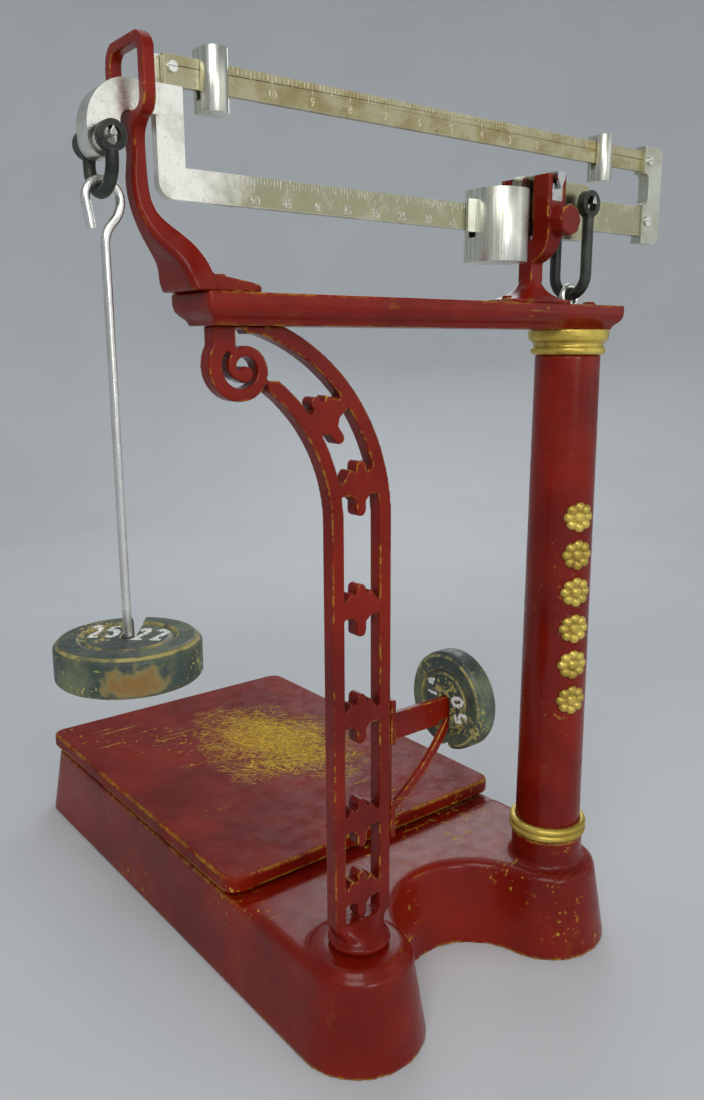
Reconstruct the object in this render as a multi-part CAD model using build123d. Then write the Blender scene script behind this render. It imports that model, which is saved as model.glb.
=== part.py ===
from build123d import *
import math
import os

# Antique counter scale: cast base and platform, hollow column, scroll pillar, shelf and steelyard beam.
# All sizes in millimetres. While the pieces are made, the column's axis is x = 0, y = 0, the floor is
# z = 0, +X runs from the scroll pillar to the column and +Y runs back under the platform.

# Base casting
pillar_x = -187.0          # axis of the scroll pillar
foot_radius = 46.0         # round feet under the column and the pillar, at the floor
scallop_y = 30.0           # deepest point of the scalloped front
base_back = 449.0          # back edge at the floor
base_corner = 30.0         # back corner radius
skirt_inset = 10.0         # how far the skirt leans in up to the deck
deck_z = 63.0              # top of the deck round the column
ledge_y = 86.0             # behind this line the deck is lower, under the platform
ledge_drop = 3.0
wall = 6.0                 # wall thickness of the castings
neck_radius = 26.5         # seat of the column on the base
neck_z = 85.5

# Platform
platform_x = -92.0
platform_width = 266.7
platform_front = 97.0
platform_depth = 342.9
platform_z = 76.0          # weighing surface
platform_thick = 11.5      # plate with its rim
platform_corner = 12.0

# Column, shelf and pillar
column_foot_radius = 24.3
column_top_radius = 22.2
column_bore = 16.5
collar_z = (85.5, 96.0)
capital_z = (441.5, 458.0)
rosette_z = 331.2          # middle of the top rosette
rosette_pitch = 26.8
rosette_half = (11.6, 10.6)
rosette_radius = 26.0      # outside of the petals, from the column's axis
rosette_turn = -17.0       # degrees from -Y towards the pillar
shelf_z = (458.0, 474.2)
shelf_x = (-291.6, 35.0)
shelf_half = 20.2
shelf_inset = 6.0          # moulded underside
shelf_lip = 6.0            # straight edge above the moulding
leg_width = 8.6
leg_depth = 10.0
leg_gap = 36.0             # between the centre lines of the two legs
bend_z = 345.0             # where the legs start to curve towards the shelf
back_leg_radius = 122.5    # outside of the back leg's curve
front_leg_radius = 105.0
spacer_z = (103.0, 153.0, 223.0, 292.5, 366.5)
scroll_centre = (-264.0, 436.5)

# Steelyard beam
knife_z = 543.0            # all three knife edges lie on one line
fulcrum_x = -41.0
load_x = -1.0
tip_x = -334.0
lower_bar = (-306.5, -57.0, 516.5, 531.3)
upper_bar_box = (-301.0, 80.0, 567.3, 581.0)
upper_bar_thick = 3.6
beam_thick = 5.0
hub_thick = 8.0
nose_thick = 12.0
upright_x = (-306.5, -292.0)
neck_of_nose = (553.0, 566.5)
tail_z = (524.0, 543.5)
bracket_x = (70.0, 90.0)
bracket_z = (519.0, 584.0)
shackle_half = 12.5        # tip shackle, half its width between eyes
shackle_wire = 3.0
shackle_bar_z = 517.0      # bottom of the tip shackle, where the hook hangs
hook_wire = 2.25
load_shackle_half = 13.0
load_shackle_wire = 3.7
load_shackle_bar_z = 481.0
bracket_thick = 8.5
poise_play = 0.3           # clearance each side of the bar
lower_poise_x = -78.0
upper_poise_x = -275.4
balance_poise_x = 24.0

# Stands on the shelf
loop_x = -317.5            # middle of the trig loop, which the nose of the beam plays in
loop_z = 566.8
fork_z = 519.0             # bottom of the fork's straight sides
fork_half = 20.0
bearing_y = 13.5           # middle of each fulcrum bearing
bearing_z = (536.0, 546.0)
bearing_half = (4.6, 6.5)

# Lever train in the base
lever_z = 30.0             # knife edges of the levers
lever_mid_x = -93.5
long_fulcrum_y = 405.0
long_load_y = 325.0
long_link_y = 238.0
long_half = 95.0           # half the spread of the long lever's pivots
short_fulcrum_y = 118.0
short_load_y = 176.0
short_half = 62.0
lever_bar = (9.0, 14.0)    # width and height of the lever arms
bearing_offset = 14.0      # bearings stand this far beside the lever arms
bearing_gap = 0.2          # knife edge to platform bearing, taken up by the coupled motion
link_pin_z = 14.0          # pin of the short lever's nose, in the links
link_pin_radius = 3.0
link_spread = 12.0         # each link stands this far from the middle
rod_ring_radius = 7.0      # ring of the steelyard rod on the load shackle
low_ring_radius = 8.5      # ring under the long lever's nose

# Weights
hanging_radius = 37.0
hanging_z = (284.0, 305.0)
spare_radius = 33.5
spare_x = (-112.0, -96.0)
spare_z = 214.95
rack_top = 218.4
rack_end_x = -88.0         # upturned end of the rack arm
rack_pad_z = ((199.0, 229.0), (135.0, 160.0))
rack_screw_z = (224.0, 140.0)
rack_pad_thick = 4.0


def plate_xz(face, thickness, y=0.0):
    """Solid of the given thickness from a face drawn in X and Z, centred on y."""
    return Pos(0, y, 0) * extrude(Plane.XZ * face, amount=thickness / 2, both=True)


def plate_yz(face, thickness, x=0.0):
    """Solid of the given thickness from a face drawn in Y and Z, centred on x."""
    return Pos(x, 0, 0) * extrude(Plane.YZ * face, amount=thickness / 2, both=True)


def block(x0, x1, y0, y1, z0, z1):
    """Box between two corners."""
    return Pos((x0 + x1) / 2, (y0 + y1) / 2, (z0 + z1) / 2) * Box(x1 - x0, y1 - y0, z1 - z0)


def rectangle(x0, x1, z0, z1):
    """Face between two corners of a drawing plane."""
    return Pos((x0 + x1) / 2, (z0 + z1) / 2) * Rectangle(x1 - x0, z1 - z0)


def rod(x, y, z0, z1, radius):
    """Upright cylinder."""
    return Pos(x, y, (z0 + z1) / 2) * Cylinder(radius, z1 - z0)


def rod_y(x, y0, y1, z, radius):
    """Cylinder along Y."""
    return Pos(x, (y0 + y1) / 2, z) * Rot(90, 0, 0) * Cylinder(radius, y1 - y0)


def rod_x(x0, x1, y, z, radius):
    """Cylinder along X."""
    return Pos((x0 + x1) / 2, y, z) * Rot(0, 90, 0) * Cylinder(radius, x1 - x0)


def wire(path, radius):
    """Round wire along a path."""
    return sweep(Plane(origin=path @ 0, z_dir=path % 0) * Circle(radius), path=path)


def turned(profile, x=0.0):
    """Turned piece from (radius, z) points, about the upright axis at x."""
    points = [(0, profile[0][1])] + list(profile) + [(0, profile[-1][1])]
    face = make_face(Polyline(*points, close=True))
    return Pos(x, 0, 0) * revolve(Plane.XZ * face, axis=Axis.Z)


def knife(width, height, length, edge_up):
    """Knife-edge pivot along Y with its working edge on the origin."""
    wedge = width * math.sqrt(3) / 2
    side = -1 if edge_up else 1
    points = [(0, 0), (width / 2, side * wedge), (width / 2, side * height)]
    points += [(-width / 2, side * height), (-width / 2, side * wedge)]
    return plate_xz(make_face(Polyline(*points, close=True)), length)


def base_outline(inset, z):
    """Plan of the base at height z, moved in by inset: two round feet joined by a scallop."""
    radius = foot_radius - inset
    half = -pillar_x / 2
    scallop_radius = ((half ** 2 + scallop_y ** 2 - foot_radius ** 2)
                      / (2 * (foot_radius + scallop_y))) + inset
    scallop_centre = Vector(-half, scallop_y + inset - scallop_radius)
    to_scallop = (scallop_centre - Vector(0, 0)).normalized() * radius
    touch_right = (to_scallop.X, to_scallop.Y)
    touch_left = (pillar_x - to_scallop.X, to_scallop.Y)
    left = pillar_x - radius
    right = radius
    back = base_back - inset
    corner = base_corner - inset
    edges = [
        Line((left, back - corner), (left, 0)),
        ThreePointArc((left, 0), (pillar_x, -radius), touch_left),
        ThreePointArc(touch_left, (-half, scallop_y + inset), touch_right),
        ThreePointArc(touch_right, (0, -radius), (right, 0)),
        Line((right, 0), (right, back - corner)),
        TangentArc((right, back - corner), (right - corner, back), tangent=(0, 1)),
        Line((right - corner, back), (left + corner, back)),
        TangentArc((left + corner, back), (left, back - corner), tangent=(-1, 0)),
    ]
    return Pos(0, 0, z) * make_face(edges)


def base_casting():
    """Open-bottomed base: leaning skirt, deck with a lower ledge, two necks and four lever lugs."""
    shell = loft([base_outline(0, 0), base_outline(skirt_inset, deck_z)], ruled=True)
    shell = fillet(shell.edges().group_by(Axis.Z)[-1], 7.0)
    shell -= loft([base_outline(wall, -1), base_outline(wall + skirt_inset, deck_z - wall)], ruled=True)
    edge = platform_width / 2 + 1.5
    shell -= block(platform_x - edge - 20, platform_x + edge + 20, ledge_y, base_back + 1,
                   deck_z - ledge_drop, deck_z + 1)
    opening = block(platform_x - 108, platform_x + 108, 132, 420, deck_z - 2 * wall, deck_z + 1)
    shell -= fillet(opening.edges().filter_by(Axis.Z), 12.0)
    shell += rod(0, 0, deck_z - wall, neck_z, neck_radius)
    shell = fillet(shell.edges().filter_by(GeomType.CIRCLE).filter_by(
        lambda e: abs(e.radius - neck_radius) < 0.01 and abs(e.center().Z - deck_z) < 0.01), 4.0)
    shell += turned([(34, deck_z - wall), (34, deck_z - 2), (30, deck_z + 3), (22, deck_z + 4)], pillar_x)
    shell -= rod(0, 0, 0, neck_z + 1, column_bore)
    for x, y in lug_places():
        shell += block(x - 7, x + 7, y - 9, y + 9, lever_z - 12, deck_z - wall)
        shell -= block(x - 8, x + 8, y - 5, y + 5, lever_z - 6, lever_z + 14)
    shell += block(-5, 5, -24, -16, 20, deck_z - wall)
    return shell


def lever_points(half, offset, y):
    """Two plan points of a lever, offset outwards from its side arms."""
    return [(lever_mid_x + side * (half + offset), y) for side in (-1, 1)]


def lug_places():
    """Plan positions of the four lugs that carry the levers' fulcrums."""
    return (lever_points(long_half, bearing_offset, long_fulcrum_y)
            + lever_points(short_half, bearing_offset, short_fulcrum_y))


def foot_places():
    """Plan positions of the four platform feet, over the levers' load knife edges."""
    return (lever_points(long_half, -bearing_offset, long_load_y)
            + lever_points(short_half, -bearing_offset, short_load_y))


def column_shaft():
    """Solid tapered shaft of the column."""
    return turned([(column_foot_radius, collar_z[0]), (column_top_radius, capital_z[0])])


def column():
    """Hollow tapered column standing on the base neck."""
    return column_shaft() - rod(0, 0, collar_z[0] - 1, capital_z[0] + 1, column_bore)


def column_collar():
    """Gilt double ring round the foot of the column."""
    z0, z1 = collar_z
    middle = (z0 + z1) / 2
    bead = (z1 - z0) / 4
    ring = turned([(27, z0), (27, z1)])
    for height in (middle - bead, middle + bead):
        ring += Pos(0, 0, height) * Torus(26.2, bead - 0.05)
    return ring - turned([(column_foot_radius, z0 - 1), (column_foot_radius, z1 + 1)])


def column_capital():
    """Gilt capital with two mouldings and a spigot that drops into the column."""
    z0, z1 = capital_z
    profile = [(23.6, z0), (25.2, z0 + 1.5), (25.2, z0 + 4), (23.6, z0 + 5.5)]
    profile += [(23.6, z0 + 8), (26.6, z0 + 9.5), (27.2, z0 + 12), (27.2, z1)]
    capital = turned(profile) + rod(0, 0, z0 - 12, z0, column_bore - 0.05)
    return capital - rod(0, 0, z0 - 13, z1 + 1, 12.5)


def column_rosettes():
    """Six raised gilt rosettes down the front of the column, wrapped round it."""
    rosettes = []
    for index in range(6):
        z = rosette_z - index * rosette_pitch
        outline = Ellipse(rosette_half[0], rosette_half[1])
        for turn in range(8):
            angle = math.radians(45 * turn + 22.5)
            notch = Pos(rosette_half[0] * 1.05 * math.cos(angle), rosette_half[1] * 1.05 * math.sin(angle))
            outline -= notch * Circle(1.9)
        blank = extrude(Plane.XZ * outline, amount=40)
        blank &= rod(0, 0, -15, 15, rosette_radius)
        button = extrude(Plane.XZ * Ellipse(4.8, 4.2), amount=40) & rod(0, 0, -15, 15, rosette_radius + 1.2)
        rosettes.append(Pos(0, 0, z) * Rot(0, 0, rosette_turn) * (blank + button))
    return rosettes


def leg(outer_radius, outer_x, width, top_z):
    """One curved leg of the pillar: straight up to the bend, then an arc towards the shelf."""
    centre_x = outer_x - outer_radius
    inner = outer_radius - width
    ring = Pos(centre_x, bend_z) * (Circle(outer_radius) - Circle(inner))
    ring &= rectangle(centre_x, outer_x + 1, bend_z, top_z)
    return ring + rectangle(outer_x - width, outer_x, deck_z + 18, bend_z)


def scroll():
    """Flat scroll at the top of the front leg, its centre line a shrinking spiral."""
    turns = 1.45
    steps = 22
    outside = []
    inside = []
    for step in range(steps + 1):
        part_way = step / steps
        angle = math.radians(128) + part_way * turns * 2 * math.pi
        radius = 20.5 * (1 - part_way) + 4.0 * part_way
        half = 4.6 * (1 - part_way) + 2.4 * part_way
        outside.append((scroll_centre[0] + (radius + half) * math.cos(angle) * 0.88,
                        scroll_centre[1] + (radius + half) * math.sin(angle) * 0.85))
        inside.append((scroll_centre[0] + (radius - half) * math.cos(angle) * 0.88,
                       scroll_centre[1] + (radius - half) * math.sin(angle) * 0.85))
    edges = [Spline(*outside), Line(outside[-1], inside[-1]), Spline(*inside), Line(inside[0], outside[0])]
    face = make_face(edges)
    face += Pos((outside[-1][0] + inside[-1][0]) / 2, (outside[-1][1] + inside[-1][1]) / 2) * Circle(4.4)
    return face + rectangle(-281.5, -268.5, 445, shelf_z[0])


def spacer(z, x=pillar_x + 0.6):
    """Small cross between the two legs."""
    gap = leg_gap - leg_width + 2
    cross = Pos(x, z) * Rectangle(gap, 8)
    cross += Pos(x, z) * Circle(8.0)
    cross += Pos(x, z) * Rectangle(7, 26)
    for side in (-1, 1):
        cross += Pos(x, z + side * 13) * Circle(3.5)
        cross += Pos(x + side * 9, z + 6) * Rot(0, 0, side * 35) * Rectangle(5, 11)
    return cross


def scroll_pillar():
    """Openwork pillar: two legs, cross spacers, scroll and a turned foot."""
    right = pillar_x + 1.5 + (leg_gap + leg_width) / 2
    left = right - leg_gap
    top = shelf_z[0]
    face = leg(back_leg_radius, right, leg_width + 0.4, top)
    front = Circle(front_leg_radius) - Circle(front_leg_radius - leg_width)
    front = Pos(left - front_leg_radius, bend_z) * front
    face += front & rectangle(left - 50, left + 1, bend_z, 430)
    face += rectangle(left - leg_width, left, deck_z + 18, bend_z)
    face += scroll()
    for z in spacer_z:
        face += spacer(z)
    face += Pos(-210, 407) * Rot(0, 0, 38) * Pos(-pillar_x - 0.6, 0) * spacer(0)
    face += rectangle(-262, -238, top - 4, top)
    face += rectangle(left - leg_width, right, deck_z + 12, deck_z + 20)
    body = plate_xz(face, leg_depth)
    mid = pillar_x + 1.5
    body += turned([(18, deck_z + 4), (20.5, deck_z + 6.5), (20.5, deck_z + 9), (17, deck_z + 12)], mid)
    body += loft([Pos(mid, 0, deck_z + 12) * Circle(17),
                  Pos(mid, 0, deck_z + 22) * Rectangle(leg_gap + leg_width, leg_depth)])
    return body


def shelf():
    """Shelf with a straight lip over a moulded underside."""
    z0, z1 = shelf_z
    lip_z = z1 - shelf_lip
    length = shelf_x[1] - shelf_x[0]
    middle_x = (shelf_x[0] + shelf_x[1]) / 2

    def section(inset, z):
        return Pos(middle_x, 0, z) * RectangleRounded(length - 2 * inset, 2 * (shelf_half - inset), 2.0)

    board = extrude(section(0, lip_z), amount=shelf_lip)
    board = fillet(board.edges().group_by(Axis.Z)[-1], 1.0)
    drop = lip_z - z0
    mould = [(0, 0), (0.12, 0.3), (0.45, 0.55), (0.85, 0.75), (1, 1)]
    for (inset_a, down_a), (inset_b, down_b) in zip(mould, mould[1:]):
        board += loft([section(shelf_inset * inset_a, lip_z - drop * down_a),
                       section(shelf_inset * inset_b, lip_z - drop * down_b)], ruled=True)
    return board


def trig_stand():
    """Trig loop that limits the nose of the beam, on an arm that rises from the end of the shelf."""
    top = shelf_z[1]
    loop = RectangleRounded(39.4, 36, 9)
    loop = Pos(0, loop_z) * loop - Pos(0, loop_z - 0.5) * RectangleRounded(28.4, 27.2, 5)
    stand = plate_yz(loop, 6.0, loop_x)
    stations = [(loop_x, 553.0, 34, 6, 90), (-317.2, 545, 15, 6.8, 90), (-316.6, 529, 10, 7.4, 90),
                (-315.2, 514, 10.5, 8.4, 80), (-308.5, 502, 15, 10.5, 45), (-299.5, 493, 25, 12.5, 48),
                (-294.0, 484.5, 33, 14, 74), (-291.0, top + 0.01, 37, 13, 90)]
    sections = []
    for x, z, width, thick, lean in stations:
        tilt = math.radians(lean)
        plane = Plane(origin=(x, 0, z), x_dir=(0, 1, 0), z_dir=(math.cos(tilt), 0, -math.sin(tilt)))
        sections.append(plane * RectangleRounded(width, thick, thick / 4))
    stand += loft(sections[1:])
    stand += loft(sections[:2], ruled=True)
    tongue = Pos(-275, 0) * RectangleRounded(42, 33, 12)
    wedge = extrude(Pos(0, 0, top) * tongue, amount=11)
    wedge &= plate_xz(make_face(Polyline((-298, top), (-250, top), (-250, top + 2.5), (-285, top + 8),
                                         (-298, top + 9), close=True)), 60)
    stand += wedge
    stand -= block(-330, -240, -40, 40, top - 30, top)
    stand -= block(-330, -310, -11.5, 11.5, 552.7, 575)
    return stand


def fulcrum_stand():
    """Forked stand for the beam: flared foot, stem, two tines and a boss outside each tine."""
    top = shelf_z[1]
    x = fulcrum_x
    foot = Pos(x, 0, top) * RectangleRounded(56, 32, 9)
    stand = extrude(foot, amount=2.6)
    stand += loft([Pos(x, 0, top + 2.6) * RectangleRounded(52, 28, 9),
                   Pos(x, 0, top + 5.5) * RectangleRounded(33, 21, 8),
                   Pos(x, 0, top + 10.5) * RectangleRounded(18, 15, 6),
                   Pos(x, 0, top + 17) * RectangleRounded(11.6, 11.6, 5)])
    fork = rectangle(-5.6, 5.6, top + 14, fork_z - 7) + Pos(0, fork_z) * Circle(fork_half)
    fork -= rectangle(-30, 30, fork_z, 560)
    fork += rectangle(-fork_half, fork_half, fork_z, 552)
    fork -= rectangle(-7, 7, fork_z, 560)
    fork -= Pos(0, fork_z) * Circle(7)
    side_view = make_face([
        Line((x - 8.4, 553), (x - 8.4, 527)),
        ThreePointArc((x - 8.4, 527), (x - 6.6, 512), (x - 5.6, 500)),
        Line((x - 5.6, 500), (x - 5.6, 480)),
        Line((x - 5.6, 480), (x + 5.6, 480)),
        Line((x + 5.6, 480), (x + 5.6, 500)),
        ThreePointArc((x + 5.6, 500), (x + 6.6, 512), (x + 8.4, 527)),
        Line((x + 8.4, 527), (x + 8.4, 553)),
        Line((x + 8.4, 553), (x - 8.4, 553)),
    ])
    stand += plate_yz(fork, 20, x) & plate_xz(side_view, 60)
    half_x = bearing_half[0]
    half_y = bearing_half[1] + 1
    for side in (-1, 1):
        boss = Plane.XZ * (Pos(x + 1.5, fork_z + 5) * RegularPolygon(9.6, 8))
        stand += Pos(0, side * 22.5 + 8, 0) * extrude(boss, amount=16)
        y = side * bearing_y
        stand -= block(x - half_x, x + half_x, y - half_y, y + half_y, bearing_z[0], 553)
    return stand


def fulcrum_bearings():
    """Two hardened blocks with V grooves that carry the fulcrum knife edge."""
    blocks = []
    x = fulcrum_x
    half_x, half_y = bearing_half
    for side in (-1, 1):
        y = side * bearing_y
        piece = block(x - half_x, x + half_x, y - half_y, y + half_y, bearing_z[0], bearing_z[1])
        groove = make_face(Polyline((x, knife_z), (x + 4, knife_z + 4), (x - 4, knife_z + 4), close=True))
        blocks.append(piece - plate_xz(groove, 60))
    return blocks


def beam():
    """Beam casting: graduated lower bar, upright, nose, hub for the two knife edges and tail."""
    x0, x1, z0, z1 = lower_bar
    face = rectangle(x0, x1, z0, z1)
    face += rectangle(upright_x[0], upright_x[1], z0, upper_bar_box[2])
    corner = rectangle(x0, x0 + 8, z0, z0 + 8) - Pos(x0 + 8, z0 + 8) * Circle(8)
    face -= corner
    bottom, top = neck_of_nose
    nose = make_face([
        Line((x0 + 1, top), (-320, top)),
        ThreePointArc((-320, top), (-335.5, 560), (-342, 546)),
        Line((-342, 546), (-342, 539)),
        ThreePointArc((-342, 539), (-334, 531), (-326, 539)),
        Line((-326, 539), (-326, 547)),
        ThreePointArc((-326, 547), (-324.6, 551.2), (-321.5, bottom)),
        Line((-321.5, bottom), (x0 + 1, bottom)),
        Line((x0 + 1, bottom), (x0 + 1, top)),
    ])
    casting = plate_xz(face, beam_thick)
    casting += plate_xz(nose, nose_thick) - block(-324, x0 + 2, -7, 7, 500, 600)
    casting += plate_xz(nose, beam_thick + 3)
    hub = Pos((x1 + 12) / 2, (z0 + 552) / 2) * RectangleRounded(12 - x1, 552 - z0, 6)
    casting += plate_xz(hub, hub_thick)
    casting += plate_xz(rectangle(8, bracket_x[1] - 5, tail_z[0], tail_z[1]), 6)
    lug = rectangle(upright_x[0] + 3, upright_x[1], 560, upper_bar_box[3])
    lug_y = (beam_thick + upper_bar_thick) / 2
    casting += plate_xz(lug, beam_thick - 1, lug_y)
    casting += block(upright_x[0] + 3, upright_x[1], 0, lug_y, 560, upper_bar_box[2])
    return casting


def upper_bar():
    """Brass bar with the fine graduations."""
    x0, x1, z0, z1 = upper_bar_box
    return block(x0, x1, -upper_bar_thick / 2, upper_bar_thick / 2, z0, z1)


def beam_end_bracket():
    """End bracket that joins the upper bar to the tail of the beam."""
    x0, x1 = bracket_x
    z0, z1 = bracket_z
    face = Pos((x0 + x1) / 2, (z0 + z1) / 2) * RectangleRounded(x1 - x0, z1 - z0, 7)
    face += rectangle(x0, x0 + 8, z1 - 8, z1) + rectangle(x0, x0 + 8, z0, z0 + 8)
    face -= Pos(x0, (tail_z[1] + upper_bar_box[2]) / 2) * RectangleRounded(11, 21, 4)
    return plate_xz(face, bracket_thick)


def shackle(x, half, eye_z, low_z, wire_radius, eye_radius, hole, thick):
    """U-shaped shackle in the Y, Z plane with an eye at the top of each leg."""
    bend = low_z + half
    start = eye_z - hole - wire_radius * 0.6
    path = Line((x, -half, start), (x, -half, bend))
    path += ThreePointArc((x, -half, bend), (x, 0, low_z), (x, half, bend))
    path += Line((x, half, bend), (x, half, start))
    loop = wire(path, wire_radius)
    for side in (-1, 1):
        loop += rod_y(x, side * half - thick / 2, side * half + thick / 2, eye_z, eye_radius)
        loop -= rod_y(x, side * half - thick, side * half + thick, eye_z, hole)
    return loop


def tip_shackle():
    """Black shackle on the nose of the beam."""
    return shackle(tip_x, shackle_half, knife_z - 4.0, shackle_bar_z, shackle_wire, 6.8, 4.0, 5.0)


def load_shackle():
    """Black shackle on the tail side of the beam."""
    low = load_shackle_bar_z
    return shackle(load_x, load_shackle_half, knife_z - 4.6, low, load_shackle_wire, 8.5, 4.6, 6.0)


def counterpoise_hook():
    """Steel hook over the tip shackle with a long straight shank."""
    bend = 8.5
    top = shackle_bar_z + shackle_wire + hook_wire - bend + 0.05
    drop = 20.0
    turn = (bend ** 2 + drop ** 2) / (4 * bend)
    lean = math.asin(drop / (2 * turn)) / 2
    right = tip_x + bend
    path = Line((tip_x - bend + 2.0, 0, top - 13), (tip_x - bend, 0, top))
    path += ThreePointArc((tip_x - bend, 0, top), (tip_x, 0, top + bend), (right, 0, top))
    middle = (tip_x + bend / 2, 0, top - drop / 2)
    upper = (right - turn * (1 - math.cos(lean)), 0, top - turn * math.sin(lean))
    lower = (tip_x + turn * (1 - math.cos(lean)), 0, top - drop + turn * math.sin(lean))
    path += ThreePointArc((right, 0, top), upper, middle)
    path += ThreePointArc(middle, lower, (tip_x, 0, top - drop))
    path += Line((tip_x, 0, top - drop), (tip_x, 0, hanging_z[0] + 3))
    return wire(path, hook_wire)


def counterpoise_seat():
    """Round seat riveted to the lower end of the shank."""
    z = hanging_z[0]
    return turned([(13, z), (13.5, z + 0.8), (13.5, z + 3)], tip_x)


def slotted_weight(radius, thick, slot, sunk):
    """Cast weight standing on z = 0 with a slot along +X, a raised rim on top and a recess below."""
    body = turned([(radius - 2, 0), (radius, 2), (radius, thick - 3), (radius - 3, thick)])
    body -= rod(0, 0, thick - 1.6, thick + 1.6, radius * 0.66)
    body += turned([(radius * 0.6, thick - 2), (radius * 0.56, thick - 0.4)])
    body -= rod(0, 0, -1, thick + 1, slot / 2)
    body -= block(0, radius + 1, -slot / 2, slot / 2, -1, thick + 1)
    if sunk:
        body -= rod(0, 0, -1, sunk, 14.0)
    return body


def hanging_weight():
    """Slotted weight on the counterpoise hook."""
    weight = slotted_weight(hanging_radius, hanging_z[1] - hanging_z[0], 7.0, 3.05)
    return Pos(tip_x, 0, hanging_z[0]) * Rot(0, 0, 55) * weight


def spare_weight():
    """Spare slotted weight hung on the rack, its slot down."""
    weight = slotted_weight(spare_radius, spare_x[1] - spare_x[0], 8.0, 0)
    return Pos(spare_x[1], 0, spare_z) * Rot(0, -90, 0) * Rot(0, 0, 180) * weight


def weight_rack():
    """Rack arm from the pillar with an upturned end and a curved brace."""
    left = pillar_x + 1.5 + (leg_gap + leg_width) / 2
    z = rack_top
    arm = rectangle(left, rack_end_x, z - 15, z)
    arm += rectangle(left, -118, z - 18, z)
    arm += rectangle(rack_end_x - 4, rack_end_x, z - 15, z + 5)
    arm += make_face([
        Line((-110, z - 14), (-104, z - 14)),
        ThreePointArc((-104, z - 14), (-122, z - 40), (left, 147)),
        Line((left, 147), (left, 153)),
        ThreePointArc((left, 153), (-128, z - 38), (-110, z - 14)),
    ])
    arm += rectangle(left, left + 4, 141, z)
    return plate_xz(arm, 4.0)


def poise(x, half, back, front, z0, z1, bar_box, bar_thick):
    """Sliding poise with a flat back and a half-round front, slotted for its bar."""
    plan = Pos(x, (back - front) / 2) * Rectangle(2 * half, back + front)
    plan += Pos(x, -front) * Circle(half)
    body = extrude(Pos(0, 0, z0) * plan, amount=z1 - z0)
    slot = bar_thick / 2 + poise_play
    return body - block(x - 50, x + 50, -slot, slot, bar_box[2] - 4, bar_box[3] + 0.05)


def lower_poise():
    """Large poise of the lower bar."""
    return poise(lower_poise_x, 17.4, 7.0, 6.4, 498.0, 540.5, lower_bar, beam_thick)


def lower_poise_index():
    """Index plate on the large poise, beside the graduations."""
    end = lower_poise_x - 17.4
    front = -beam_thick / 2
    return block(end - 8.6, end, front - 2.6, front - poise_play, 515.0, 534.0)


def upper_poise():
    """Upper bar poise at the nose end."""
    return poise(upper_poise_x, 6.8, 5.0, 3.6, 557.5, 586.5, upper_bar_box, upper_bar_thick)


def balance_poise():
    """Small poise at the tail end of the upper bar."""
    return poise(balance_poise_x, 5.8, 5.0, 3.2, 556.0, 585.0, upper_bar_box, upper_bar_thick)


def steelyard_rod():
    """Rod in the column with a ring round the load shackle and a ring under the long lever's nose."""
    wire_radius = 2.0
    hang = rod_ring_radius - wire_radius
    ring_z = load_shackle_bar_z + load_shackle_wire - hang + 0.05
    ring = Pos(load_x, 0, ring_z) * Rot(90, 0, 0) * Torus(rod_ring_radius, wire_radius)
    shank = rod(load_x, 0, lever_z + 12, ring_z - 6.2, 2.5)
    low = Pos(load_x, 0, lever_z + 4) * Rot(90, 0, 0) * Torus(low_ring_radius, 2.5)
    return ring + shank + low


def lever_arm(start, end):
    """Rectangular cast bar between two plan points, on the lever's centre height."""
    run = Vector(*end) - Vector(*start)
    angle = math.degrees(math.atan2(run.Y, run.X))
    middle = (Vector(*start) + Vector(*end)) * 0.5
    arm = Box(run.length + lever_bar[0] * 0.6, lever_bar[0], lever_bar[1])
    return Pos(middle.X, middle.Y, lever_z) * Rot(0, 0, angle) * arm


def lever_knives(places, edge_up):
    """Knife edges along X centred on the given plan points."""
    return [Pos(x, y, lever_z) * Rot(0, 0, 90) * knife(5.0, 6.5, 26.0, edge_up) for x, y in places]


def long_lever_pivots():
    """Four knife edges of the long lever."""
    reach = bearing_offset / 2 + 1
    fulcrums = lever_knives(lever_points(long_half, reach, long_fulcrum_y), False)
    return fulcrums + lever_knives(lever_points(long_half, -reach, long_load_y), True)


def short_lever_pivots():
    """Four knife edges of the short lever."""
    reach = bearing_offset / 2 + 1
    fulcrums = lever_knives(lever_points(short_half, reach, short_fulcrum_y), False)
    return fulcrums + lever_knives(lever_points(short_half, -reach, short_load_y), True)


def long_lever():
    """Frame lever: two side arms, two cross bars and a long nose that reaches under the column."""
    left = lever_mid_x - long_half
    right = lever_mid_x + long_half
    lever = lever_arm((left, long_link_y), (left, long_fulcrum_y + 6))
    lever += lever_arm((right, long_link_y), (right, long_fulcrum_y + 6))
    lever += lever_arm((left, long_link_y), (right, long_link_y))
    lever += lever_arm((left, 365), (right, 365))
    lever += lever_arm((right, long_link_y), (load_x, 14))
    lever += block(load_x - 2.5, load_x + 2.5, -8, 16, lever_z - 1.2, lever_z + 6.8)
    return lever


def short_lever():
    """Forked lever whose T-shaped nose hangs in the links under the long lever."""
    left = lever_mid_x - short_half
    right = lever_mid_x + short_half
    lever = lever_arm((left, short_fulcrum_y - 6), (left, short_load_y + 8))
    lever += lever_arm((right, short_fulcrum_y - 6), (right, short_load_y + 8))
    nose = (lever_mid_x, 222)
    lever += lever_arm((left, short_load_y + 8), nose) + lever_arm((right, short_load_y + 8), nose)
    x = lever_mid_x
    low = link_pin_z - link_pin_radius
    lever += block(x - 4.5, x + 4.5, 214, 226, low, lever_z)
    lever += block(x - 3.5, x + 3.5, 220, long_link_y, low, link_pin_z + link_pin_radius)
    return lever + rod_x(x - link_spread - 5, x + link_spread + 5, long_link_y, link_pin_z, link_pin_radius)


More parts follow.
